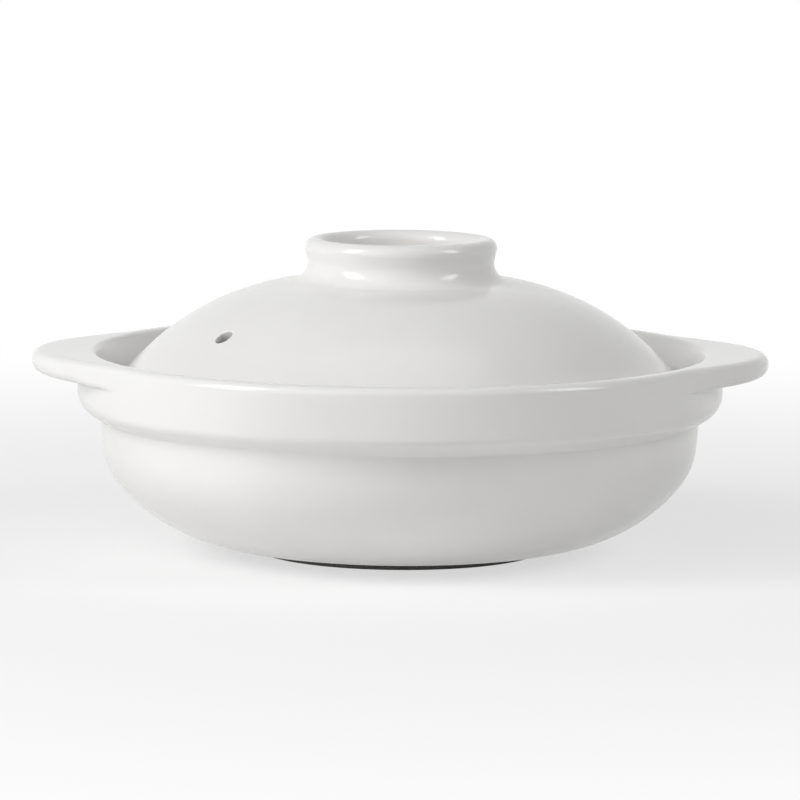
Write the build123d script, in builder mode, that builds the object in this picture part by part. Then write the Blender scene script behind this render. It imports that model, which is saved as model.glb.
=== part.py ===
"""A lidded donabe: a shallow two-handled clay pot and the domed lid that sits in its rim.

Lengths are millimetres and angles are degrees. Z is up, and the origin is the centre of
the circle that the foot stands on. X runs from one handle to the other.
"""

import os
from math import acos, asin, cos, degrees, hypot, radians, sin, tan

from build123d import *

os.makedirs("parts", exist_ok=True)

# Pot: the height of its rim
pot_height = 81.7

# Pot: the upright collar round the mouth, from the rim down to the crease
collar_radius = 131.3
collar_depth = 27.5
collar_overhang = 9.3
collar_round = 10.4
collar_round_turn = 60.0
rim_width = 7.3
rim_outer_round = 3.4
rim_inner_round = 2.8
crease_fill = 1.2

# Pot: the bowl below the collar
bowl_wall = 9.2
bowl_taper = 5.0
bowl_taper_height = 10.7
bowl_shoulder_round = 28.0
bowl_shoulder_turn = 38.0

# Pot: the foot ring, left bare of glaze
foot_radius = 58.5
foot_width = 7.0
foot_height = 3.2
foot_edge_round = 0.6

# Pot: the gallery inside the rim that holds the lid
seat_depth = 17.6
seat_edge_round = 1.2
gallery_lean = 17.0
gallery_cove = 3.5

# Pot: the two flat handles, drawn out from the rim
handle_reach = 18.7
handle_spread = 39.0
handle_sink = 0.4
handle_root_drop = 9.8
handle_under_slope = 3.5
handle_top_round = 4.0
handle_under_round = 4.05
handle_round_share = 0.49

# Lid: the dome and its edge
lid_clearance = 2.0
lid_wall = 6.5
lid_edge_height = 2.5
lid_edge_round = 1.0
lid_rise = 44.9
crown_inset = 1.15

# Lid: the ring knob on the crown
knob_radius = 39.15
knob_bead = 4.1
knob_height = 16.15
knob_lean = 13.5
knob_cove = 7.2
knob_well_cove = 4.0

# Lid: the steam hole, square to the dome
steam_hole_radius = 3.5
steam_hole_inset = 26.6
steam_hole_bearing = -141.2
steam_hole_lip = 0.7

# How far a cutting shape runs past what it cuts
overrun = 5.0

# The bowl's side, from the crease down to its flat underside: a taper and two arcs
crease_height = pot_height - collar_depth
bowl_radius = collar_radius - collar_overhang
shoulder_top_radius = bowl_radius - bowl_taper_height * tan(radians(bowl_taper))
shoulder_top_height = crease_height - bowl_taper_height
shoulder_centre_radius = shoulder_top_radius - bowl_shoulder_round * cos(radians(bowl_taper))
shoulder_centre_height = shoulder_top_height + bowl_shoulder_round * sin(radians(bowl_taper))
belly_top_radius = shoulder_centre_radius + bowl_shoulder_round * cos(radians(bowl_shoulder_turn))
belly_top_height = shoulder_centre_height - bowl_shoulder_round * sin(radians(bowl_shoulder_turn))
belly_round = (belly_top_height - foot_height) / (1 - sin(radians(bowl_shoulder_turn)))
belly_end_radius = belly_top_radius - belly_round * cos(radians(bowl_shoulder_turn))
floor_height = foot_height + bowl_wall
mouth_radius = shoulder_centre_radius + bowl_shoulder_round - bowl_wall

# The collar's lower edge rounds under and runs on as a slope to the crease
collar_slope = 90 - collar_round_turn
collar_slope_radius = collar_radius - collar_round * (1 - cos(radians(collar_round_turn)))
collar_slope_drop = (collar_slope_radius - bowl_radius) * tan(radians(collar_slope))
collar_side_foot = (
    crease_height + collar_slope_drop + collar_round * sin(radians(collar_round_turn))
)

# The gallery narrows from its mouth down to the level seat
gallery_mouth_radius = collar_radius - rim_width
seat_height = pot_height - seat_depth
gallery_base_radius = gallery_mouth_radius - seat_depth * tan(radians(gallery_lean))
rim_land_radius = gallery_mouth_radius + 2 * rim_inner_round

# A handle's outline: a tip arc between two straight sides that just enter the collar
tip_x = collar_radius + handle_reach
side_offset = collar_radius - handle_sink
tip_centre_x = (tip_x - side_offset) / (1 - cos(radians(handle_spread)))
tip_round = tip_x - tip_centre_x
side_end_x = side_offset * cos(radians(handle_spread))
side_end_y = side_offset * sin(radians(handle_spread))
handle_root_share = (collar_radius + gallery_mouth_radius) / 2 / side_offset
root_end_x = side_end_x * handle_root_share
root_end_y = side_end_y * handle_root_share

# The handle's underside slopes up from the collar, so the handle is thinnest at its tip
handle_under_rise = collar_radius * tan(radians(handle_under_slope))
handle_under_apex = pot_height - handle_root_drop - handle_under_rise
tip_thickness = handle_root_drop - handle_reach * tan(radians(handle_under_slope))
widest_handle_round = tip_thickness * handle_round_share

# The level crown ends just inside the knob's wall. The dome and its lining are arcs from
# there to the lid's edge, and share one centre
lid_radius = gallery_base_radius - lid_clearance
crown_radius = knob_radius - 2 * knob_bead - crown_inset
dome_run = lid_radius - crown_radius
dome_round = (dome_run**2 + lid_rise**2) / (2 * lid_rise)
dome_turn = degrees(asin(dome_run / dome_round))
crown_height = seat_height + lid_edge_height + lid_rise
dome_centre_height = crown_height - dome_round
lining_round = dome_round - lid_wall
lining_turn = degrees(acos((seat_height - dome_centre_height) / lining_round))
lining_end_radius = crown_radius + lining_round * sin(radians(lining_turn))

# The knob's wall stands on the dome, sunk half-way into it
knob_centre_radius = knob_radius - knob_bead
well_floor_radius = knob_centre_radius - knob_bead - knob_well_cove
knob_centre_height = crown_height + knob_height - knob_bead
knob_root_height = crown_height - lid_wall / 2
knob_side_top = knob_centre_height - knob_bead * sin(radians(knob_lean))
knob_side_length = (knob_side_top - knob_root_height) / cos(radians(knob_lean))
knob_waist_radius = knob_radius - (knob_side_top - crown_height) * tan(radians(knob_lean))

# The steam hole's place on the dome and the way it points
hole_place = lid_radius - steam_hole_inset
hole_turn = asin((hole_place - crown_radius) / dome_round)
hole_height = dome_centre_height + dome_round * cos(hole_turn)
hole_way_x = cos(radians(steam_hole_bearing))
hole_way_y = sin(radians(steam_hole_bearing))


def corner(sketch, x, y):
    """The corner of a sketch that lies nearest to a place in the sketch's own plane."""
    return sketch.vertices().sort_by_distance((x, y))[0]


def outer_edges(face):
    """The edges of a handle's face that lie outside the collar."""
    middles = [(edge, edge @ 0.5) for edge in face.edges()]
    return [edge for edge, middle in middles if hypot(middle.X, middle.Y) > side_offset]


# One handle: a level slab with a sloping underside and full, rounded edges
with BuildPart() as handle:
    with BuildSketch(Plane.XY.offset(pot_height)):
        with BuildLine():
            tip_arc = CenterArc((tip_centre_x, 0), tip_round, -handle_spread, 2 * handle_spread)
            Line(tip_arc @ 1, (side_end_x, side_end_y))
            Line((side_end_x, side_end_y), (root_end_x, root_end_y))
            Line((root_end_x, root_end_y), (root_end_x, -root_end_y))
            Line((root_end_x, -root_end_y), (side_end_x, -side_end_y))
            Line((side_end_x, -side_end_y), tip_arc @ 0)
        make_face()
    extrude(amount=handle_under_apex - pot_height)
    with BuildSketch(Plane.XZ):
        Polygon(
            (0, handle_under_apex),
            (2 * collar_radius, handle_under_apex + 2 * handle_under_rise),
            (2 * collar_radius, handle_under_apex - overrun),
            (0, handle_under_apex - overrun),
            align=None,
        )
    revolve(axis=Axis.Z, mode=Mode.SUBTRACT)
    top_face = handle.faces().sort_by(Axis.Z)[-1]
    fillet(outer_edges(top_face), min(handle_top_round, widest_handle_round))
    under_face = handle.faces().filter_by(GeomType.CONE)[0]
    fillet(outer_edges(under_face), min(handle_under_round, widest_handle_round))

# The pot, fired in one piece: bowl, collar, foot ring and the two handles
with BuildPart() as pot_body:
    with BuildSketch(Plane.XZ) as outside:
        with BuildLine():
            taper = Line(
                (bowl_radius, crease_height), (shoulder_top_radius, shoulder_top_height)
            )
            shoulder = JernArc(
                taper @ 1, taper % 1, bowl_shoulder_round, bowl_taper - bowl_shoulder_turn
            )
            belly = JernArc(shoulder @ 1, shoulder % 1, belly_round, bowl_shoulder_turn - 90)
            Polyline(belly @ 1, (0, foot_height), (0, pot_height), (collar_radius, pot_height))
            side = Line((collar_radius, pot_height), (collar_radius, collar_side_foot))
            under = JernArc(side @ 1, side % 1, collar_round, -collar_round_turn)
            Line(under @ 1, taper @ 0)
        make_face()
        fillet(corner(outside, collar_radius, pot_height), rim_outer_round)
        fillet(corner(outside, bowl_radius, crease_height), crease_fill)
    revolve(axis=Axis.Z)
    add(handle.part)
    mirror(handle.part, about=Plane.YZ)
    with BuildSketch(Plane.XZ) as inside:
        with BuildLine():
            floor = Line((0, floor_height), (belly_end_radius, floor_height))
            floor_curve = JernArc(
                floor @ 1, floor % 1, belly_round - bowl_wall, 90 - bowl_shoulder_turn
            )
            wall_curve = JernArc(
                floor_curve @ 1,
                floor_curve % 1,
                bowl_shoulder_round - bowl_wall,
                bowl_shoulder_turn,
            )
            Polyline(
                wall_curve @ 1,
                (mouth_radius, seat_height),
                (gallery_base_radius, seat_height),
                (gallery_mouth_radius, pot_height),
                (rim_land_radius, pot_height),
                (rim_land_radius, pot_height + overrun),
                (0, pot_height + overrun),
                (0, floor_height),
            )
        make_face()
        fillet(corner(inside, mouth_radius, seat_height), seat_edge_round)
        fillet(corner(inside, gallery_base_radius, seat_height), gallery_cove)
        fillet(corner(inside, gallery_mouth_radius, pot_height), rim_inner_round)
    revolve(axis=Axis.Z, mode=Mode.SUBTRACT)
    with BuildSketch(Plane.XZ) as foot:
        Polygon(
            (foot_radius - foot_width, 0),
            (foot_radius, 0),
            (foot_radius, foot_height + bowl_wall / 2),
            (foot_radius - foot_width, foot_height + bowl_wall / 2),
            align=None,
        )
        fillet(corner(foot, foot_radius, 0), foot_edge_round)
        fillet(corner(foot, foot_radius - foot_width, 0), foot_edge_round)
    revolve(axis=Axis.Z)

# The lid, fired in one piece: dome, seating edge and ring knob, with its steam hole
with BuildPart() as lid:
    with BuildSketch(Plane.XZ) as shell:
        with BuildLine():
            crown = Line((0, crown_height), (crown_radius, crown_height))
            dome = JernArc(crown @ 1, crown % 1, dome_round, -dome_turn)
            ceiling = Line((0, crown_height - lid_wall), (crown_radius, crown_height - lid_wall))
            lining = JernArc(ceiling @ 1, ceiling % 1, lining_round, -lining_turn)
            Polyline(dome @ 1, (lid_radius, seat_height), lining @ 1)
            Line(crown @ 0, ceiling @ 0)
        make_face()
        fillet(corner(shell, lid_radius, seat_height), lid_edge_round)
        fillet(corner(shell, lid_radius, seat_height + lid_edge_height), lid_edge_round)
        fillet(corner(shell, lining_end_radius, seat_height), lid_edge_round)
        with BuildLine():
            bead = CenterArc(
                (knob_centre_radius, knob_centre_height), knob_bead, -knob_lean, 180 + knob_lean
            )
            well_cove = CenterArc(
                (well_floor_radius, crown_height + knob_well_cove), knob_well_cove, 0, -90
            )
            Line(bead @ 1, well_cove @ 0)
            knob_side = PolarLine(bead @ 0, knob_side_length, -90 - knob_lean)
            Polyline(well_cove @ 1, (well_floor_radius, knob_root_height), knob_side @ 1)
        make_face()
        fillet(corner(shell, knob_waist_radius, crown_height), knob_cove)
    revolve(axis=Axis.Z)
    hole_plane = Plane(
        origin=(hole_place * hole_way_x, hole_place * hole_way_y, hole_height),
        z_dir=(sin(hole_turn) * hole_way_x, sin(hole_turn) * hole_way_y, cos(hole_turn)),
    )
    with Locations(hole_plane):
        Hole(steam_hole_radius, depth=2 * lid_wall)
    hole_edges = lid.edges(Select.LAST).sort_by_distance(hole_plane.origin)
    fillet(hole_edges[0], steam_hole_lip)

pot_body.part.label = "pot_body"
export_step(pot_body.part, "parts/pot_body.step")

lid.part.label = "lid"
export_step(lid.part, "parts/lid.step")
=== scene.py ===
"""A lidded clay pot with two wing handles: the looks of its two fired pieces.

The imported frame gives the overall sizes, and the classes below hold the rest. Each piece is
a closed shell of clay, spun from its half section, under a satin white glaze. Lengths are
metres and angles are degrees. Z is up, and X runs from one handle to the other.
"""

from __future__ import annotations

import logging
import math
from dataclasses import dataclass
from enum import Enum

import bmesh
import bpy
from mathutils import Matrix, Vector, noise


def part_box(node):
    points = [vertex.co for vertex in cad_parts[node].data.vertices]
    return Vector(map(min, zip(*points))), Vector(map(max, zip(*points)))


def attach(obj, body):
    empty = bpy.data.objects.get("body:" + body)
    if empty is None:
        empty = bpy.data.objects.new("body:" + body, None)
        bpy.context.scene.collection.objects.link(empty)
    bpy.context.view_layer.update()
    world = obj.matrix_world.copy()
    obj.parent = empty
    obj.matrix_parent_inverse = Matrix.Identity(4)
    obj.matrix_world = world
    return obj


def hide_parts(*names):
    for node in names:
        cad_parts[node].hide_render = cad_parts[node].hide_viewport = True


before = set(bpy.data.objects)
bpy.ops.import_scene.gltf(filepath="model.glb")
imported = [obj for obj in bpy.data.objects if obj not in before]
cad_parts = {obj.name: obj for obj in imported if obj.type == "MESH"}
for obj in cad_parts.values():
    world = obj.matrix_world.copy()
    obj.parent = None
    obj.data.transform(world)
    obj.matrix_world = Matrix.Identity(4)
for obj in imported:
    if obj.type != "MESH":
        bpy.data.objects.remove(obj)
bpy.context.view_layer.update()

log = logging.getLogger("clay_pot")
MM = 0.001
# Points nearer to each other than this count as one
TOUCH = MM / 100
Point = tuple[float, float]


def smooth_share(value: float) -> float:
    """Eases a value from 0 to 1, and holds it there outside that range.

    Args:
        value: The value, where 0 is the start and 1 is the end.

    Returns:
        The eased value.
    """
    held = min(max(value, 0.0), 1.0)
    return held * held * (3 - 2 * held)


def set_radius(vert: bmesh.types.BMVert, radius: float) -> None:
    """Moves a point to a distance from the Z axis, on the bearing that it has.

    Args:
        vert: The point.
        radius: Its new distance from the axis.
    """
    scale = radius / math.hypot(vert.co.x, vert.co.y)
    vert.co.x *= scale
    vert.co.y *= scale


class Surface(Enum):
    """The two surfaces that a fired piece shows, in the order of its material slots."""

    GLAZE = 0
    BARE_CLAY = 1


class Outline:
    """Half of a round piece's section, as points of radius and height."""

    def __init__(self, start: Point) -> None:
        """Starts the outline at a point."""
        self.points: list[Point] = [start]

    def line(self, end: Point, steps: int = 1) -> None:
        """Runs straight to a point.

        Args:
            end: The point to reach.
            steps: How many equal stretches the line has.
        """
        start = self.points[-1]
        for step in range(1, steps + 1):
            share = step / steps
            self.points.append(
                (start[0] + (end[0] - start[0]) * share, start[1] + (end[1] - start[1]) * share)
            )

    def arc(self, centre: Point, radius: float, start: float, end: float, steps: int) -> None:
        """Runs to the start of an arc and follows it.

        Args:
            centre: The arc's centre.
            radius: The arc's radius.
            start: The bearing of its first point, where 0 is outwards and 90 is up.
            end: The bearing of its last point.
            steps: How many equal stretches the arc has.
        """
        for step in range(steps + 1):
            bearing = math.radians(start + (end - start) * step / steps)
            point = (
                centre[0] + radius * math.cos(bearing), centre[1] + radius * math.sin(bearing)
            )
            if math.dist(point, self.points[-1]) > TOUCH:
                self.points.append(point)

    def turn(self, corner: Point, after: Point, radius: float, steps: int, run: int = 1) -> None:
        """Runs towards a corner and rounds it.

        Args:
            corner: Where the two straight sides would meet.
            after: A point on the side that leaves the corner.
            radius: The rounding's radius.
            steps: How many stretches the rounding has.
            run: How many stretches the line before it has.
        """
        tip = Vector(corner)
        back = (Vector(self.points[-1]) - tip).normalized()
        onward = (Vector(after) - tip).normalized()
        half = back.angle(onward) / 2
        centre = tip + (back + onward).normalized() * (radius / math.sin(half))
        first = tip + back * (radius / math.tan(half))
        self.line(tuple(first), run)
        side = 1 if back.cross(onward) < 0 else -1
        spoke = first - centre
        turned = math.pi - 2 * half
        for step in range(1, steps + 1):
            spun = Matrix.Rotation(side * turned * step / steps, 2) @ spoke
            self.points.append(tuple(centre + spun))


@dataclass(frozen=True)
class Wobble:
    """The slight unevenness of a thrown and sponged clay surface."""

    depth: float = 0.22 * MM
    reach: float = 55 * MM
    ring_depth: float = 0.03 * MM
    ring_reach: float = 9 * MM
    seed: float = 3.7

    def at(self, place: Vector) -> float:
        """How far the surface lies inside its true shape at a place.

        Args:
            place: A point on the true surface.

        Returns:
            A depth from zero to the largest, in metres.
        """
        offset = Vector((self.seed, self.seed, self.seed))
        broad = noise.noise(place / self.reach + offset)
        ring = noise.noise(Vector((0, self.seed, place.z / self.ring_reach)))
        return self.depth * (1 + broad) / 2 + self.ring_depth * (1 + ring) / 2


@dataclass(frozen=True)
class WhiteGlaze:
    """A satin off-white glaze with faint clouds, a fine skin and a few pinholes, bumped in as
    dents and darkened with painted shade.
    """

    name: str = "white_glaze"
    light_tint: tuple[float, float, float] = (0.868, 0.862, 0.848)
    deep_tint: tuple[float, float, float] = (0.836, 0.829, 0.812)
    # The pinholes' colour is painted shade inside each pit, because their bump is too shallow to
    # shade itself
    pit_painted_shade: tuple[float, float, float] = (0.40, 0.38, 0.35)
    roughness: float = 0.15
    roughness_spread: float = 0.05
    cloud_scale: float = 16.0
    cloud_detail: float = 3.0
    cloud_range: tuple[float, float] = (0.3, 0.7)
    skin_scale: float = 420.0
    skin_detail: float = 2.0
    skin_depth: float = 0.02 * MM
    pit_scale: float = 160.0
    pit_radius: float = 0.45 * MM
    pit_core: float = 0.4
    pit_share: float = 0.035
    # How deep a pinhole is, in depths of the skin
    pit_depth: float = 4.0

    def material(self) -> bpy.types.Material:
        """Builds the glaze as nodes.

        Returns:
            The material.
        """
        material = bpy.data.materials.new(self.name)
        made = Nodes(material)
        place = made.place()
        cloud = made.noise(place, self.cloud_scale, self.cloud_detail)
        share = made.ramp(cloud, *self.cloud_range)
        tint = made.mix_colour(share, self.deep_tint, self.light_tint)
        cells = made.add("ShaderNodeTexVoronoi", Scale=self.pit_scale)
        made.join(place, cells.inputs["Vector"])
        shown = made.maths("LESS_THAN", cells.outputs["Color"], self.pit_share)
        reach = self.pit_radius * self.pit_scale
        pit = made.ramp(cells.outputs["Distance"], reach, reach * self.pit_core)
        pit = made.maths("MULTIPLY", pit, shown)
        # Darkens each pinhole with painted shade
        colour = made.mix_colour(pit, tint, self.pit_painted_shade)
        skin = made.noise(place, self.skin_scale, self.skin_detail)
        height = made.maths("MULTIPLY_ADD", pit, -self.pit_depth, skin)
        bump = made.add("ShaderNodeBump", Strength=1.0, Distance=self.skin_depth)
        made.join(height, bump.inputs["Height"])
        rough = made.maths("MULTIPLY_ADD", cloud, self.roughness_spread, self.roughness)
        made.shade(colour, rough, bump.outputs["Normal"])
        return material


@dataclass(frozen=True)
class BareClay:
    """The dark, coarse clay of the foot and the two seats, where no glaze is."""

    name: str = "bare_clay"
    light_tint: tuple[float, float, float] = (0.27, 0.258, 0.242)
    deep_tint: tuple[float, float, float] = (0.19, 0.18, 0.168)
    roughness: float = 0.82
    roughness_spread: float = 0.1
    grain_scale: float = 900.0
    grain_detail: float = 4.0
    grain_range: tuple[float, float] = (0.35, 0.65)
    grain_depth: float = 0.12 * MM

    def material(self) -> bpy.types.Material:
        """Builds the clay as nodes.

        Returns:
            The material.
        """
        material = bpy.data.materials.new(self.name)
        made = Nodes(material)
        grain = made.noise(made.place(), self.grain_scale, self.grain_detail)
        share = made.ramp(grain, *self.grain_range)
        colour = made.mix_colour(share, self.deep_tint, self.light_tint)
        bump = made.add("ShaderNodeBump", Strength=1.0, Distance=self.grain_depth)
        made.join(grain, bump.inputs["Height"])
        rough = made.maths("MULTIPLY_ADD", grain, self.roughness_spread, self.roughness)
        made.shade(colour, rough, bump.outputs["Normal"])
        return material


class Nodes:
    """A node tree, with a short method for each kind of node."""

    # The Mix node has several sockets of one name, so its colour sockets go by number.
    mix_first, mix_second, mix_result = 6, 7, 2

    def __init__(self, owner: bpy.types.Material | bpy.types.World) -> None:
        """Starts an empty tree for a material or for the world.

        Args:
            owner: What the tree belongs to.
        """
        owner.use_nodes = True
        self.tree = owner.node_tree
        self.tree.nodes.clear()

    def add(self, kind: str, **values: float) -> bpy.types.Node:
        """Adds a node and sets its named inputs.

        Args:
            kind: Blender's name for the node.
            **values: A value for each input that has one.

        Returns:
            The node.
        """
        node = self.tree.nodes.new(kind)
        for key, value in values.items():
            node.inputs[key].default_value = value
        return node

    def join(self, source: bpy.types.NodeSocket, target: bpy.types.NodeSocket) -> None:
        """Links an output to an input."""
        self.tree.links.new(source, target)

    def place(self) -> bpy.types.NodeSocket:
        """The place on the piece, in metres."""
        return self.add("ShaderNodeTexCoord").outputs["Object"]

    def noise(
        self, place: bpy.types.NodeSocket, scale: float, detail: float
    ) -> bpy.types.NodeSocket:
        """Noise from 0 to 1 at a place.

        Args:
            place: The place that it reads.
            scale: How many features fit in a metre.
            detail: How many finer layers it has.

        Returns:
            The noise's value.
        """
        node = self.add("ShaderNodeTexNoise", Scale=scale, Detail=detail, Roughness=0.5)
        self.join(place, node.inputs["Vector"])
        return node.outputs["Fac"]

    def ramp(self, value: bpy.types.NodeSocket, low: float, high: float) -> bpy.types.NodeSocket:
        """A smooth step from 0 to 1.

        Args:
            value: The value that it reads.
            low: Where the step is still 0.
            high: Where it has reached 1, which may be below low.

        Returns:
            The step's value.
        """
        node = self.add("ShaderNodeMapRange")
        node.interpolation_type = "SMOOTHSTEP"
        node.inputs["From Min"].default_value = min(low, high)
        node.inputs["From Max"].default_value = max(low, high)
        node.inputs["To Min"].default_value = 0.0 if low < high else 1.0
        node.inputs["To Max"].default_value = 1.0 if low < high else 0.0
        self.join(value, node.inputs["Value"])
        return node.outputs["Result"]

    def maths(
        self, operation: str, first: bpy.types.NodeSocket, *others: float | bpy.types.NodeSocket
    ) -> bpy.types.NodeSocket:
        """A sum of two or three values.

        Args:
            operation: Blender's name for the sum.
            first: The first value.
            *others: The other values, each a number or an output.

        Returns:
            The sum's value.
        """
        node = self.add("ShaderNodeMath")
        node.operation = operation
        self.join(first, node.inputs[0])
        for index, other in enumerate(others, start=1):
            if isinstance(other, bpy.types.NodeSocket):
                self.join(other, node.inputs[index])
            else:
                node.inputs[index].default_value = other
        return node.outputs["Value"]

    def mix_colour(
        self,
        share: bpy.types.NodeSocket,
        first: tuple[float, float, float] | bpy.types.NodeSocket,
        second: tuple[float, float, float],
    ) -> bpy.types.NodeSocket:
        """A colour between two others.

        Args:
            share: How much of the second colour shows.
            first: The first colour, or an output that gives it.
            second: The second colour.

        Returns:
            The mixed colour.
        """
        node = self.add("ShaderNodeMix")
        node.data_type = "RGBA"
        self.join(share, node.inputs[0])
        if isinstance(first, bpy.types.NodeSocket):
            self.join(first, node.inputs[self.mix_first])
        else:
            node.inputs[self.mix_first].default_value = (*first, 1.0)
        node.inputs[self.mix_second].default_value = (*second, 1.0)
        return node.outputs[self.mix_result]

    def seen(self) -> bpy.types.NodeSocket:
        """Whether a ray comes from the camera, or through a glossy or clear surface.

        Returns:
            1 if it does, and 0 if not.
        """
        ray = self.add("ShaderNodeLightPath").outputs
        glossy = self.maths("MAXIMUM", ray["Is Camera Ray"], ray["Is Glossy Ray"])
        return self.maths("MAXIMUM", glossy, ray["Is Transmission Ray"])

    def shade(
        self,
        colour: bpy.types.NodeSocket,
        roughness: bpy.types.NodeSocket,
        normal: bpy.types.NodeSocket,
    ) -> None:
        """Ends the tree in a Principled shader.

        Args:
            colour: The base colour.
            roughness: The roughness.
            normal: The bumped normal.
        """
        shader = self.add("ShaderNodeBsdfPrincipled", IOR=1.5)
        self.join(colour, shader.inputs["Base Color"])
        self.join(roughness, shader.inputs["Roughness"])
        self.join(normal, shader.inputs["Normal"])
        end = self.add("ShaderNodeOutputMaterial")
        self.join(shader.outputs["BSDF"], end.inputs["Surface"])


@dataclass
class FiredPiece:
    """What the pot and its lid share: a spun shell, its uneven surface and its finishes."""

    wobble: Wobble
    glaze: bpy.types.Material
    clay: bpy.types.Material
    turn_parts: int = 8
    still_fade: float = 2 * MM

    def spin(self, outline: Outline, steps: int, bearing: float = 0.0) -> bmesh.types.BMesh:
        """Spins an outline through one part of a turn and sets copies round the axis.

        Args:
            outline: The half section, from one end on the axis to the other.
            steps: How many steps each part of the turn has.
            bearing: Where the turn starts.

        Returns:
            The closed shell.
        """
        shell = bmesh.new()
        turn = Matrix.Rotation(math.radians(bearing), 3, "Z")
        points = [shell.verts.new(turn @ Vector((r, 0, z))) for r, z in outline.points]
        edges = [shell.edges.new(pair) for pair in zip(points, points[1:])]
        bmesh.ops.spin(
            shell, geom=points + edges, cent=(0, 0, 0), axis=(0, 0, 1), dvec=(0, 0, 0),
            angle=math.tau / self.turn_parts, steps=steps, use_merge=False, use_duplicate=False,
        )
        part = [*shell.verts, *shell.edges, *shell.faces]
        for index in range(1, self.turn_parts):
            grown = bmesh.ops.duplicate(shell, geom=part)["geom"]
            copied = [item for item in grown if isinstance(item, bmesh.types.BMVert)]
            away = Matrix.Rotation(math.tau * index / self.turn_parts, 3, "Z")
            bmesh.ops.rotate(shell, verts=copied, cent=(0, 0, 0), matrix=away)
        bmesh.ops.remove_doubles(shell, verts=shell.verts, dist=MM / 1000)
        return shell

    def is_bare(self, place: Vector) -> bool:
        """Whether a place on the surface has no glaze, which each piece says for itself."""
        raise NotImplementedError

    def lay_bare_clay(self, shell: bmesh.types.BMesh) -> None:
        """Marks each face of the spun shell as glazed or bare.

        Args:
            shell: The spun shell, which is changed.
        """
        for face in shell.faces:
            bare = self.is_bare(face.calc_center_median())
            face.material_index = (Surface.BARE_CLAY if bare else Surface.GLAZE).value

    def unevenness(self, shell: bmesh.types.BMesh, still: list[tuple[float, float]]) -> None:
        """Sinks the surface a little, more in some places than in others.

        Args:
            shell: The piece's shell, with its normals outwards.
            still: Bands of height, low and high, that stay true because something rests there.
        """
        shell.normal_update()
        moves = []
        for vert in shell.verts:
            share = 1.0
            for low, high in still:
                away = max(low - vert.co.z, vert.co.z - high, 0.0)
                share = min(share, away / self.still_fade)
            moves.append((vert, vert.normal * (-self.wobble.at(vert.co) * share)))
        for vert, move in moves:
            vert.co += move

    def finish(self, shell: bmesh.types.BMesh, name: str) -> bpy.types.Object:
        """Turns a shell into a smooth object with both finishes.

        Args:
            shell: The piece's shell.
            name: The object's name.

        Returns:
            The object.
        """
        for face in shell.faces:
            face.smooth = True
        mesh = bpy.data.meshes.new(name)
        shell.to_mesh(mesh)
        shell.free()
        mesh.materials.append(self.glaze)
        mesh.materials.append(self.clay)
        piece = bpy.data.objects.new(name, mesh)
        bpy.context.scene.collection.objects.link(piece)
        return piece


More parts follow.
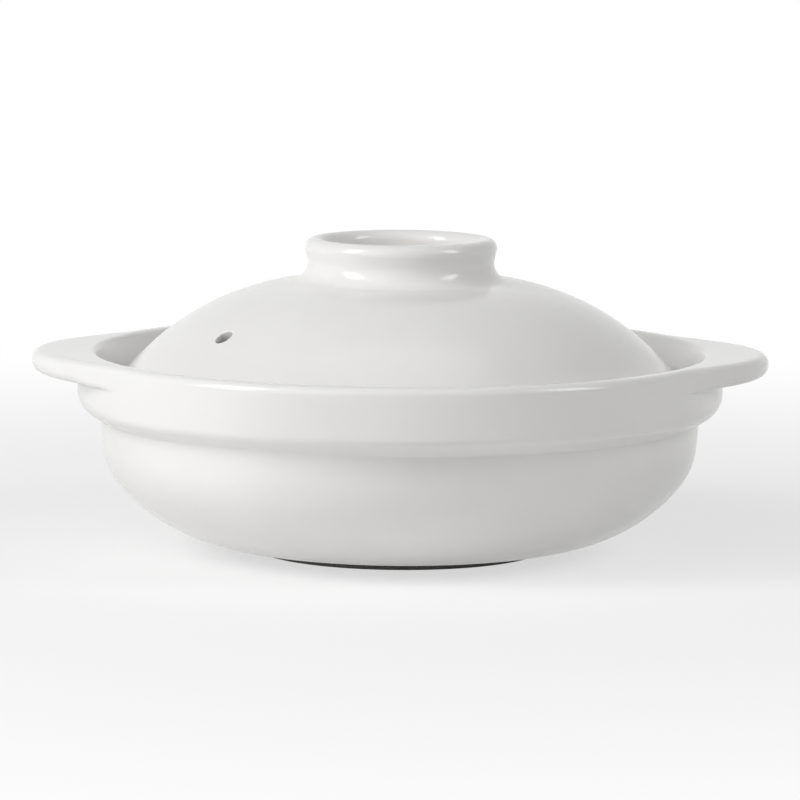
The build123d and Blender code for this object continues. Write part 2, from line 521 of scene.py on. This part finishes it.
@dataclass
class Pot(FiredPiece):
    """The pot: bowl, collar, foot ring, lid gallery and the two wing handles in one piece."""

    half_width: float = 0.0
    height: float = 0.0
    collar_radius: float = 0.0
    seat_height: float = 0.0
    part_steps: int = 40

    crease_height: float = 54.2 * MM
    collar_overhang: float = 9.3 * MM
    collar_round: float = 10.4 * MM
    collar_round_turn: float = 60.0
    # In front and behind, the rounding is this share of itself. It narrows to that over a
    # range of sines of the bearing from the handles.
    collar_crisp_share: float = 0.4
    collar_crisp_start: float = 0.2
    collar_crisp_end: float = 0.6
    rim_outer_round: float = 3.4 * MM
    rim_inner_round: float = 2.8 * MM
    lip_steps: int = 8
    land_steps: int = 9
    crease_fill: float = 1.2 * MM

    bowl_wall: float = 9.2 * MM
    bowl_taper: float = 5.0
    bowl_taper_height: float = 10.7 * MM
    shoulder_round: float = 28.0 * MM
    shoulder_turn: float = 38.0

    foot_radius: float = 58.5 * MM
    foot_width: float = 7.0 * MM
    foot_height: float = 3.2 * MM
    foot_edge_round: float = 0.6 * MM
    foot_clay_margin: float = 0.03 * MM

    seat_clay_margin: float = 0.4 * MM
    seat_clay_inset: float = 5.0 * MM
    seat_edge_round: float = 1.2 * MM
    gallery_mouth_radius: float = 124.0 * MM
    gallery_lean: float = 17.0
    gallery_cove: float = 3.5 * MM

    handle_spread: float = 39.0
    handle_sink: float = 0.4 * MM
    handle_root_drop: float = 9.8 * MM
    handle_under_slope: float = 3.5
    handle_top_round: float = 4.0 * MM
    handle_under_round: float = 4.1 * MM
    handle_root_fill: float = 1.7 * MM
    handle_fade: float = 5.0 * MM

    def build(self) -> bpy.types.Object:
        """Builds the pot's shell, draws its handles out and finishes it.

        Returns:
            The pot's object.
        """
        shell = self.spin(self.outline(), self.part_steps)
        self.lay_bare_clay(shell)
        self.crisp_collar(shell)
        self.draw_handles(shell)
        bmesh.ops.recalc_face_normals(shell, faces=shell.faces)
        self.unevenness(shell, [(0.0, self.foot_height), (self.seat_height, self.seat_height)])
        return self.finish(shell, "glazed_pot")

    @property
    def bowl_radius(self) -> float:
        """The bowl's radius at the crease under the collar."""
        return self.collar_radius - self.collar_overhang

    @property
    def underside_end(self) -> Point:
        """Where the collar's sloping underside ends and its lower rounding starts.

        Returns:
            The radius and the height.
        """
        turn = math.radians(self.collar_round_turn)
        slope = math.radians(90 - self.collar_round_turn)
        radius = self.collar_radius - self.collar_round * (1 - math.cos(turn))
        return radius, self.crease_height + (radius - self.bowl_radius) * math.tan(slope)

    @property
    def root_height(self) -> float:
        """Where a handle's underside meets the collar."""
        return self.height - self.handle_root_drop

    @property
    def band_low(self) -> float:
        """Where the collar's face starts to turn out into a handle."""
        half = math.radians((90 + self.handle_under_slope) / 2)
        return self.root_height - self.handle_root_fill / math.tan(half)

    @property
    def land_radius(self) -> float:
        """The radius where the rim's level top ends and its inner rounding starts."""
        half = math.radians((90 + self.gallery_lean) / 2)
        return self.gallery_mouth_radius + self.rim_inner_round / math.tan(half)

    def outline(self) -> Outline:
        """The pot's half section away from the handles.

        Returns:
            The outline, from the middle of the underside to the middle of the floor.
        """
        taper_run = self.bowl_taper_height * math.tan(math.radians(self.bowl_taper))
        taper_foot = (self.bowl_radius - taper_run, self.crease_height - self.bowl_taper_height)
        lean = math.radians(self.bowl_taper)
        shoulder = (
            taper_foot[0] - self.shoulder_round * math.cos(lean),
            taper_foot[1] + self.shoulder_round * math.sin(lean),
        )
        turn = math.radians(self.shoulder_turn)
        belly_top = (
            shoulder[0] + self.shoulder_round * math.cos(turn),
            shoulder[1] - self.shoulder_round * math.sin(turn),
        )
        belly_round = (belly_top[1] - self.foot_height) / (1 - math.sin(turn))
        belly = (belly_top[0] - belly_round * math.cos(turn), self.foot_height + belly_round)

        made = Outline((0.0, self.foot_height))
        self.add_foot(made, belly[0])
        made.arc(belly, belly_round, -90, -self.shoulder_turn, steps=26)
        made.arc(shoulder, self.shoulder_round, -self.shoulder_turn, -self.bowl_taper, steps=12)
        self.add_collar(made)
        self.add_gallery(made, shoulder)
        inner_shoulder = self.shoulder_round - self.bowl_wall
        made.arc(shoulder, inner_shoulder, 0, -self.shoulder_turn, steps=10)
        made.arc(belly, belly_round - self.bowl_wall, -self.shoulder_turn, -90, steps=18)
        made.line((0.0, self.foot_height + self.bowl_wall), steps=8)
        return made

    def add_foot(self, made: Outline, end_radius: float) -> None:
        """Adds the underside and the foot ring.

        Args:
            made: The outline so far, at the middle of the underside.
            end_radius: Where the bowl's belly starts to rise.
        """
        inner, outer = self.foot_radius - self.foot_width, self.foot_radius
        top, edge = self.foot_height, self.foot_edge_round
        made.turn((inner, top), (inner, 0.0), edge, steps=3, run=6)
        made.turn((inner, 0.0), (outer, 0.0), edge, steps=4)
        made.turn((outer, 0.0), (outer, top), edge, steps=4, run=3)
        made.line((outer, top), steps=2)
        made.line((end_radius, top), steps=2)

    def add_collar(self, made: Outline) -> None:
        """Adds the taper, the crease and the collar up to the rim's top.

        Args:
            made: The outline so far, at the foot of the taper.
        """
        end, turn = self.underside_end, self.collar_round_turn
        crease = (self.bowl_radius, self.crease_height)
        made.turn(crease, end, self.crease_fill, steps=5, run=4)
        made.line(end, steps=3)
        centre = (
            self.collar_radius - self.collar_round,
            end[1] + self.collar_round * math.sin(math.radians(turn)),
        )
        made.arc(centre, self.collar_round, -turn, 0, steps=12)
        made.line((self.collar_radius, self.band_low))
        made.points.extend(self.plain_band()[1:])

    def add_gallery(self, made: Outline, shoulder: Point) -> None:
        """Adds the rim's inner rounding, the gallery, the seat and the upright inner wall.

        Args:
            made: The outline so far, on the rim's top.
            shoulder: The centre of the bowl's shoulder arcs.
        """
        depth = self.height - self.seat_height
        base = self.gallery_mouth_radius - depth * math.tan(math.radians(self.gallery_lean))
        mouth = shoulder[0] + self.shoulder_round - self.bowl_wall
        rim = (self.gallery_mouth_radius, self.height)
        seat_out, seat_in = (base, self.seat_height), (mouth, self.seat_height)
        wall_foot = (mouth, shoulder[1])
        made.turn(rim, seat_out, self.rim_inner_round, steps=8)
        made.turn(seat_out, seat_in, self.gallery_cove, steps=7, run=7)
        made.turn(seat_in, wall_foot, self.seat_edge_round, steps=4, run=2)
        made.line(wall_foot, steps=6)

    def plain_band(self) -> list[Point]:
        """The collar's face and the rim's top where there is no handle.

        Its points keep the heights that they have in a slight handle, so a handle fades out
        level with its own edge.

        Returns:
            As many points as a handle's section has.
        """
        slight = self.handle_section(self.collar_radius + self.handle_fade)
        face_end = len(slight) - 1 - self.lip_steps - self.land_steps
        lip_start = self.height - self.rim_outer_round
        stretch = (lip_start - self.band_low) / (slight[face_end][1] - self.band_low)
        made = Outline((self.collar_radius, self.band_low))
        for _, height in slight[1 : face_end + 1]:
            made.line((self.collar_radius, self.band_low + (height - self.band_low) * stretch))
        centre = (self.collar_radius - self.rim_outer_round, lip_start)
        made.arc(centre, self.rim_outer_round, 0, 90, self.lip_steps)
        made.line((self.land_radius, self.height), self.land_steps)
        return made.points

    def handle_section(self, reach: float) -> list[Point]:
        """A handle's section at one bearing, from the collar's face to the rim's top.

        Args:
            reach: How far from the pot's axis the handle's edge is at that bearing.

        Returns:
            The section's points.
        """
        proud = reach - self.collar_radius
        slope = math.tan(math.radians(self.handle_under_slope))
        root = (self.collar_radius, self.root_height)
        under_edge = (reach, self.root_height + proud * slope)
        top_edge, land = (reach, self.height), (self.land_radius, self.height)
        under_round = min(self.handle_under_round, proud / 2)
        made = Outline((self.collar_radius, self.band_low))
        made.turn(root, under_edge, min(self.handle_root_fill, proud), steps=6)
        made.turn(under_edge, top_edge, under_round, steps=8, run=9)
        made.turn(top_edge, land, self.handle_top_round, self.lip_steps, run=2)
        made.line(land, self.land_steps)
        return made.points

    def edge_reach(self, bearing: float) -> float:
        """How far out a handle's edge is at a bearing from the handle's middle.

        Args:
            bearing: The angle from the X axis, in degrees.

        Returns:
            The distance from the pot's axis, or the collar's radius past the handle.
        """
        spread = math.radians(self.handle_spread)
        side = self.collar_radius - self.handle_sink
        centre_x = (self.half_width - side) / (1 - math.cos(spread))
        tip_round = self.half_width - centre_x
        angle = math.radians(abs(bearing))
        tip_end = math.atan2(
            tip_round * math.sin(spread), centre_x + tip_round * math.cos(spread)
        )
        if angle >= spread:
            return self.collar_radius
        if angle > tip_end:
            return max(side / math.cos(spread - angle), self.collar_radius)
        across = centre_x * math.sin(angle)
        return centre_x * math.cos(angle) + math.sqrt(tip_round**2 - across**2)

    def crisp_collar(self, shell: bmesh.types.BMesh) -> None:
        """Tightens the collar's lower rounding in front and at the back.

        The rounding shrinks toward the corner of the two lines that it joins, so both stay.

        Args:
            shell: The spun shell, which is changed.
        """
        turn = math.radians(self.collar_round_turn)
        corner = self.crease_height + self.collar_overhang / math.tan(turn)
        top = corner + self.collar_round * math.tan(turn / 2)
        inner, low = self.underside_end
        fade = self.collar_crisp_end - self.collar_crisp_start
        for vert in shell.verts:
            radius = math.hypot(vert.co.x, vert.co.y)
            if radius < inner - TOUCH or not low - TOUCH < vert.co.z < top + TOUCH:
                continue
            sine = abs(vert.co.y) / radius
            crisp = smooth_share((sine - self.collar_crisp_start) / fade)
            scale = 1 - (1 - self.collar_crisp_share) * crisp
            set_radius(vert, self.collar_radius + (radius - self.collar_radius) * scale)
            vert.co.z = corner + (vert.co.z - corner) * scale

    def draw_handles(self, shell: bmesh.types.BMesh) -> None:
        """Draws the two handles out of the collar and the rim.

        Args:
            shell: The spun shell, which is changed.
        """
        plain = self.plain_band()
        sections: dict[float, list[Point]] = {}
        for vert in shell.verts:
            radius = math.hypot(vert.co.x, vert.co.y)
            if radius < self.land_radius or vert.co.z < self.band_low:
                continue
            bearing = math.degrees(math.atan2(vert.co.y, abs(vert.co.x)))
            reach = self.edge_reach(bearing)
            proud = reach - self.collar_radius
            if proud < TOUCH:
                continue
            here = (radius, vert.co.z)
            row = min(range(len(plain)), key=lambda index: math.dist(plain[index], here))
            column = round(reach / MM, 3)
            if column not in sections:
                sections[column] = self.handle_section(reach)
            drawn = sections[column][row]
            share = smooth_share(proud / self.handle_fade)
            set_radius(vert, radius + (drawn[0] - radius) * share)
            vert.co.z += (drawn[1] - vert.co.z) * share

    def is_bare(self, place: Vector) -> bool:
        """Whether a place is on the foot, the underside or the seat.

        Args:
            place: A place on the surface.

        Returns:
            True where the clay is bare.
        """
        radius, margin = math.hypot(place.x, place.y), self.foot_clay_margin
        if place.z < self.foot_height + margin and radius < self.foot_radius + margin:
            return True
        level = abs(place.z - self.seat_height) < self.seat_clay_margin
        return level and radius < self.gallery_mouth_radius - self.seat_clay_inset


@dataclass
class Lid(FiredPiece):
    """The lid: dome, seating edge and ring knob in one piece, with a steam hole."""

    radius: float = 0.0
    height: float = 0.0
    seat_height: float = 0.0
    part_steps: int = 36

    wall: float = 6.5 * MM
    edge_height: float = 2.5 * MM
    edge_round: float = 1.0 * MM
    edge_clay_height: float = 0.5 * MM
    # How many degrees before the edge the dome's arc and its lining's arc end
    dome_run_out: float = 0.7
    lining_run_out: float = 1.0
    crown_radius: float = 29.8 * MM
    knob_radius: float = 39.15 * MM
    knob_bead: float = 4.1 * MM
    knob_height: float = 16.15 * MM
    knob_lean: float = 13.5
    knob_cove: float = 7.2 * MM
    knob_well_cove: float = 4.0 * MM

    hole_radius: float = 3.5 * MM
    hole_place: float = 90.0 * MM
    hole_bearing: float = -141.2
    hole_lip: float = 0.7 * MM
    hole_lip_steps: int = 4
    # How far past the hole the smooth ring round its lip reaches, in widths of the lip
    hole_apron: float = 2.2
    hole_patch: int = 4
    hole_patch_length: float = 1.95 * MM
    hole_patch_low: float = 5.0 * MM

    def build(self) -> bpy.types.Object:
        """Builds the lid's shell, opens its steam hole and finishes it.

        Returns:
            The lid's object.
        """
        shell = self.spin(self.outline(), self.part_steps, self.hole_bearing)
        self.lay_bare_clay(shell)
        self.open_hole(shell)
        bmesh.ops.recalc_face_normals(shell, faces=shell.faces)
        self.unevenness(shell, [(self.seat_height, self.seat_height)])
        return self.finish(shell, "glazed_lid")

    @property
    def crown_height(self) -> float:
        """The height of the dome's level crown, which is the floor of the knob's well."""
        return self.height - self.knob_height

    @property
    def dome_round(self) -> float:
        """The radius of the dome's arc, from the level crown to the edge.

        Returns:
            The radius.
        """
        run = self.radius - self.crown_radius
        rise = self.crown_height - self.seat_height - self.edge_height
        return (run**2 + rise**2) / (2 * rise)

    @property
    def dome_centre(self) -> Point:
        """The centre of the dome's arc and of its lining's arc."""
        return self.crown_radius, self.crown_height - self.dome_round

    @property
    def hole_tilt(self) -> float:
        """The angle between the steam hole and the vertical."""
        return math.degrees(math.asin((self.hole_place - self.crown_radius) / self.dome_round))

    def outline(self) -> Outline:
        """The lid's half section.

        Returns:
            The outline, from the middle of the well's floor to the middle of the ceiling.
        """
        bead = (self.knob_radius - self.knob_bead, self.height - self.knob_bead)
        well_floor = bead[0] - self.knob_bead - self.knob_well_cove
        made = Outline((0.0, self.crown_height))
        made.line((well_floor, self.crown_height), steps=7)
        cove_centre = (well_floor, self.crown_height + self.knob_well_cove)
        made.arc(cove_centre, self.knob_well_cove, -90, 0, steps=7)
        made.line((bead[0] - self.knob_bead, bead[1]), steps=5)
        made.arc(bead, self.knob_bead, 180, -self.knob_lean, steps=18)
        dome_start = self.add_neck(made, bead)
        self.add_dome(made, dome_start)
        return made

    def add_neck(self, made: Outline, bead: Point) -> float:
        """Adds the knob's side and the cove that joins it to the dome.

        Args:
            made: The outline so far, at the foot of the knob's bead.
            bead: The centre of the bead.

        Returns:
            The bearing on the dome's arc where the cove ends.
        """
        lean = math.radians(self.knob_lean)
        outward = Vector((math.cos(lean), -math.sin(lean)))
        down = Vector((-math.sin(lean), -math.cos(lean)))
        bead_centre, dome_centre = Vector(bead), Vector(self.dome_centre)
        start = bead_centre + outward * (self.knob_bead + self.knob_cove) - dome_centre
        reach = self.dome_round + self.knob_cove
        along = start.dot(down)
        run = -along - math.sqrt(along**2 - start.length_squared + reach**2)
        centre = start + down * run + dome_centre
        made.line(tuple(bead_centre + outward * self.knob_bead + down * run), steps=3)
        from_dome = centre - dome_centre
        bearing = math.degrees(math.atan2(from_dome.y, from_dome.x))
        made.arc(tuple(centre), self.knob_cove, 180 - self.knob_lean, 180 + bearing, steps=12)
        return bearing

    def add_dome(self, made: Outline, start: float) -> None:
        """Adds the dome, the seating edge and the lining.

        Args:
            made: The outline so far, where the knob's cove meets the dome.
            start: The bearing of that point on the dome's arc.
        """
        centre, hole = self.dome_centre, 90 - self.hole_tilt
        edge_top = self.seat_height + self.edge_height
        dome_end = math.degrees(math.asin((edge_top - centre[1]) / self.dome_round))
        made.arc(centre, self.dome_round, start, hole, steps=26)
        made.arc(centre, self.dome_round, hole, dome_end + self.dome_run_out, steps=19)
        foot = (self.radius, self.seat_height)
        made.turn((self.radius, edge_top), foot, self.edge_round, steps=4)

        lining_round = self.dome_round - self.wall
        rise = self.seat_height - centre[1]
        lining_end = math.degrees(math.asin(rise / lining_round))
        inner = centre[0] + lining_round * math.cos(math.radians(lining_end))
        foot_inner = (inner, self.seat_height)
        tangent = math.radians(lining_end + 90)
        after = (
            inner + math.cos(tangent) * self.wall,
            self.seat_height + math.sin(tangent) * self.wall,
        )
        made.turn(foot, foot_inner, self.edge_round, steps=4)
        made.turn(foot_inner, after, self.edge_round, steps=4, run=3)
        made.arc(centre, lining_round, lining_end + self.lining_run_out, hole, steps=18)
        made.arc(centre, lining_round, hole, 90, steps=30)
        made.line((0.0, centre[1] + lining_round), steps=8)

    def surface_point(self, depth: float, down: float, across: float) -> Vector:
        """A point on the dome near the steam hole.

        Args:
            depth: How far under the dome's outer face it is.
            down: The distance from the hole's axis, measured down the dome.
            across: The distance from the hole's axis, measured round the dome.

        Returns:
            The point.
        """
        tilt = math.radians(self.hole_tilt) + down / (self.dome_round - depth)
        radius = self.crown_radius + (self.dome_round - depth) * math.sin(tilt)
        height = self.dome_centre[1] + (self.dome_round - depth) * math.cos(tilt)
        bearing = math.radians(self.hole_bearing) + across / radius
        return Vector((radius * math.cos(bearing), radius * math.sin(bearing), height))

    def open_hole(self, shell: bmesh.types.BMesh) -> None:
        """Opens the steam hole through the dome, with a rounded lip.

        Args:
            shell: The spun shell, which is changed.
        """
        patch = [face for face in shell.faces if self.in_patch(face.calc_center_median())]
        bmesh.ops.delete(shell, geom=patch, context="FACES")
        top = self.surface_point(0.0, 0.0, 0.0)
        inward = (self.surface_point(self.wall, 0.0, 0.0) - top).normalized()
        outer, inner = [], []
        for edge in [edge for edge in shell.edges if edge.is_boundary]:
            depth = ((edge.verts[0].co + edge.verts[1].co) / 2 - top).dot(inward)
            (inner if depth > self.wall / 2 else outer).append(edge)
        rings = self.narrow(shell, outer, 0.0) + self.narrow(shell, inner, self.wall)
        bmesh.ops.bridge_loops(shell, edges=rings)

    def in_patch(self, place: Vector) -> bool:
        """Whether a place is in the square patch that is cut out for the steam hole.

        Args:
            place: A place on the dome's outer face or on its lining.

        Returns:
            True in the patch.
        """
        across = self.hole_patch * math.tau / (self.turn_parts * self.part_steps)
        middle = math.radians(self.hole_bearing)
        turned = (math.atan2(place.y, place.x) - middle + math.pi) % math.tau - math.pi
        if abs(turned) > across or place.z < self.seat_height + self.hole_patch_low:
            return False
        radius = math.hypot(place.x, place.y) - self.dome_centre[0]
        tilt = math.atan2(radius, place.z - self.dome_centre[1])
        along = (tilt - math.radians(self.hole_tilt)) * self.dome_round
        return abs(along) < self.hole_patch * self.hole_patch_length

    def narrow(
        self, shell: bmesh.types.BMesh, loop: list[bmesh.types.BMEdge], side: float
    ) -> list[bmesh.types.BMEdge]:
        """Draws the edge of a square opening in to the round steam hole.

        Args:
            shell: The shell, which is changed.
            loop: The edges round the opening.
            side: Zero for the dome's outer face, or the wall for its lining.

        Returns:
            The edges round the hole, inside its lip.
        """
        way = 1 if side == 0.0 else -1
        rings = [(self.hole_apron, 0.0)]
        for step in range(self.hole_lip_steps + 1):
            angle = math.radians(90 * step / self.hole_lip_steps)
            rings.append((1 - math.sin(angle), 1 - math.cos(angle)))
        for wide, sunk in rings:
            grown = bmesh.ops.extrude_edge_only(shell, edges=loop)["geom"]
            points = [item for item in grown if isinstance(item, bmesh.types.BMVert)]
            edges = [item for item in grown if isinstance(item, bmesh.types.BMEdge)]
            loop = [edge for edge in edges if all(vert in points for vert in edge.verts)]
            reach = self.hole_radius + self.hole_lip * wide
            self.round_off(points, side + way * self.hole_lip * sunk, reach)
        return loop

    def round_off(self, points: list[bmesh.types.BMVert], depth: float, reach: float) -> None:
        """Sets points evenly on a circle round the steam hole.

        Args:
            points: The points, in any order.
            depth: How far under the dome's outer face they go.
            reach: The circle's radius.
        """
        axis_point = self.surface_point(depth, 0.0, 0.0)
        down = (self.surface_point(depth, MM, 0.0) - axis_point).normalized()
        across = (self.surface_point(depth, 0.0, MM) - axis_point).normalized()

        def bearing(point: bmesh.types.BMVert) -> float:
            """The point's bearing round the hole."""
            away = point.co - axis_point
            return math.atan2(away.dot(across), away.dot(down))

        ordered = sorted(points, key=bearing)
        first = bearing(ordered[0])
        for index, point in enumerate(ordered):
            angle = first + math.tau * index / len(ordered)
            point.co = self.surface_point(depth, reach * math.cos(angle), reach * math.sin(angle))

    def is_bare(self, place: Vector) -> bool:
        """Whether a place is on the seating edge."""
        return place.z < self.seat_height + self.edge_clay_height


@dataclass(frozen=True)
class Lamp:
    """A soft box that points at the pot.

    Its bearing is from the camera's side of the pot, and positive to the right.
    """

    name: str
    bearing: float
    elevation: float
    width: float
    height: float
    watts: float
    distance: float = 1.7

    def place(self, target: Vector) -> None:
        """Hangs the lamp and turns it to the pot.

        Args:
            target: The point that it faces.
        """
        data = bpy.data.lights.new(self.name, "AREA")
        data.shape, data.size, data.size_y = "RECTANGLE", self.width, self.height
        data.energy = self.watts
        lamp = bpy.data.objects.new(self.name, data)
        turned, raised = math.radians(self.bearing), math.radians(self.elevation)
        level = math.cos(raised)
        away = Vector((math.sin(turned) * level, -math.cos(turned) * level, math.sin(raised)))
        lamp.location = target + away * self.distance
        lamp.rotation_euler = (-away).to_track_quat("-Z", "Y").to_euler()
        bpy.context.scene.collection.objects.link(lamp)


@dataclass
class Studio:
    """The camera, the soft boxes, the floor and the white surroundings."""

    camera_distance: float = 2.1
    camera_elevation: float = 7.07
    camera_aim_height: float = 61.05 * MM
    camera_roll: float = 0.42
    camera_lens: float = 231.75
    sensor_width: float = 36.0
    camera_near: float = 0.05
    camera_far: float = 50.0
    floor_radius: float = 4.0
    floor_sides: int = 96
    floor_colour: tuple[float, float, float] = (0.94, 0.94, 0.94)
    floor_white_near: float = 0.62
    floor_white_start: float = 0.16
    floor_white_end: float = 0.75
    ambient: float = 0.1
    # Each lamp's name, bearing, elevation, width, height and watts
    lamps: tuple[Lamp, ...] = (
        Lamp("left_softbox", -64.0, 29.0, 0.5, 0.9, 12.6),
        Lamp("left_fill", -47.0, 42.0, 1.5, 1.2, 6.5),
        Lamp("right_softbox", 68.0, 33.0, 0.45, 0.85, 6.9),
        Lamp("front_fill", -40.0, 9.0, 1.3, 0.5, 2.9),
        Lamp("top_fill", 0.0, 84.0, 1.2, 1.2, 2.5),
    )

    def build(self) -> None:
        """Sets up the whole studio."""
        self.aim_camera()
        for lamp in self.lamps:
            lamp.place(self.aim)
        self.lay_floor()
        self.light_surroundings()
        bpy.context.scene.view_settings.view_transform = "Standard"

    @property
    def aim(self) -> Vector:
        """The point on the pot's axis that the camera and the lamps face."""
        return Vector((0, 0, self.camera_aim_height))

    def aim_camera(self) -> None:
        """Sets the camera where the photograph was taken from."""
        raised = math.radians(self.camera_elevation)
        data = bpy.data.cameras.new("camera")
        data.lens, data.sensor_width = self.camera_lens, self.sensor_width
        data.clip_start, data.clip_end = self.camera_near, self.camera_far
        camera = bpy.data.objects.new("camera", data)
        away = Vector((0, -math.cos(raised), math.sin(raised)))
        camera.location = self.aim + away * self.camera_distance
        look = (-away).to_track_quat("-Z", "Y").to_matrix().to_4x4()
        roll = Matrix.Rotation(math.radians(self.camera_roll), 4, "Z")
        camera.rotation_euler = (look @ roll).to_euler()
        bpy.context.scene.collection.objects.link(camera)
        bpy.context.scene.camera = camera

    def lay_floor(self) -> None:
        """Lays a round white floor that keeps the pot's shadow."""
        disc = bmesh.new()
        bmesh.ops.create_circle(
            disc, cap_ends=True, segments=self.floor_sides, radius=self.floor_radius
        )
        mesh = bpy.data.meshes.new("floor")
        disc.to_mesh(mesh)
        disc.free()
        mesh.materials.append(self.floor_material())
        floor = bpy.data.objects.new("floor", mesh)
        bpy.context.scene.collection.objects.link(floor)

    def floor_material(self) -> bpy.types.Material:
        """A pale floor that turns white to the eye away from the pot.

        Returns:
            The material.
        """
        material = bpy.data.materials.new("floor")
        made = Nodes(material)
        away = made.add("ShaderNodeVectorMath")
        away.operation = "LENGTH"
        made.join(made.place(), away.inputs[0])
        far = made.ramp(away.outputs["Value"], self.floor_white_start, self.floor_white_end)
        white = made.maths("MULTIPLY_ADD", far, 1 - self.floor_white_near, self.floor_white_near)
        white = made.maths("MULTIPLY", white, made.seen())
        matt = made.add("ShaderNodeBsdfDiffuse")
        matt.inputs["Color"].default_value = (*self.floor_colour, 1.0)
        glow = made.add("ShaderNodeEmission", Strength=1.0)
        mix = made.add("ShaderNodeMixShader")
        made.join(white, mix.inputs[0])
        made.join(matt.outputs["BSDF"], mix.inputs[1])
        made.join(glow.outputs["Emission"], mix.inputs[2])
        end = made.add("ShaderNodeOutputMaterial")
        made.join(mix.outputs["Shader"], end.inputs["Surface"])
        return material

    def light_surroundings(self) -> None:
        """Makes the surroundings white to the eye and softer as a light."""
        world = bpy.data.worlds.new("surroundings")
        bpy.context.scene.world = world
        made = Nodes(world)
        strength = made.maths("MULTIPLY_ADD", made.seen(), 1 - self.ambient, self.ambient)
        light = made.add("ShaderNodeBackground")
        light.inputs["Color"].default_value = (1.0, 1.0, 1.0, 1.0)
        made.join(strength, light.inputs["Strength"])
        end = made.add("ShaderNodeOutputWorld")
        made.join(light.outputs["Background"], end.inputs["Surface"])


def main() -> None:
    """Builds the studio and the two fired pieces."""
    logging.basicConfig(level=logging.INFO, format="%(message)s")
    Studio().build()
    glaze, clay, wobble = WhiteGlaze().material(), BareClay().material(), Wobble()
    pot_high, lid_low, lid_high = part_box("pot_body")[1], *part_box("lid")
    pot = Pot(
        wobble, glaze, clay, half_width=pot_high.x, height=pot_high.z,
        collar_radius=pot_high.y, seat_height=lid_low.z,
    ).build()
    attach(pot, "pot")
    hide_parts("pot_body")
    lid = Lid(
        wobble, glaze, clay, radius=lid_high.x, height=lid_high.z, seat_height=lid_low.z
    ).build()
    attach(lid, "lid")
    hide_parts("lid")
    for piece in (pot, lid):
        log.info("%s: %d faces", piece.name, len(piece.data.polygons))


if __name__ == "__main__":
    main()
